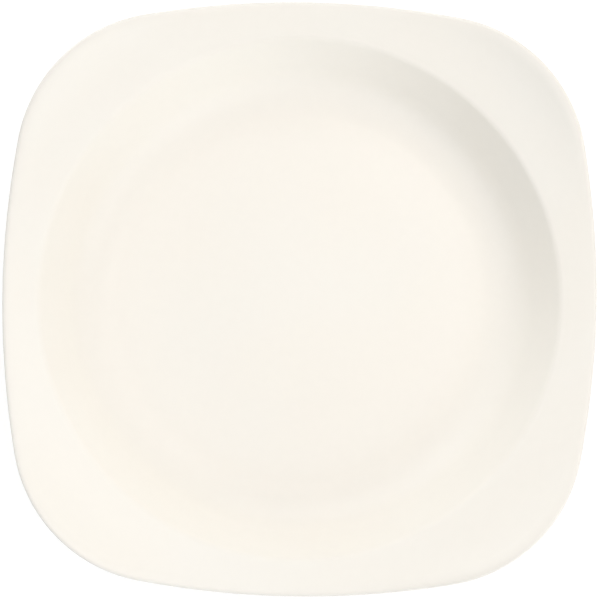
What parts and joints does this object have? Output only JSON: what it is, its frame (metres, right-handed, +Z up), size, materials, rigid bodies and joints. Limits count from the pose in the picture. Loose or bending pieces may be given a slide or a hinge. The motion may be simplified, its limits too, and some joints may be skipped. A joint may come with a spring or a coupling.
{
  "type": "square deep plate",
  "caption": "Glazed ceramic deep plate with a bowed-square rim, upturned corners, a rolled lip, a round well and a foot ring, for soup, stew or pasta.",
  "frame": {"origin": "on the plane the plate stands on, under the middle of the well, at the centre of the foot ring", "axes": "+Z up out of the well; X and Y run through the middles of the sides, so the corners lie on the diagonals"},
  "size_m": [0.21, 0.21, 0.0441],
  "materials": {
    "glaze": "glossy cream glaze"
  },
  "bodies": {
    "root": {"plate": "glaze"}
  },
  "joints": []
}
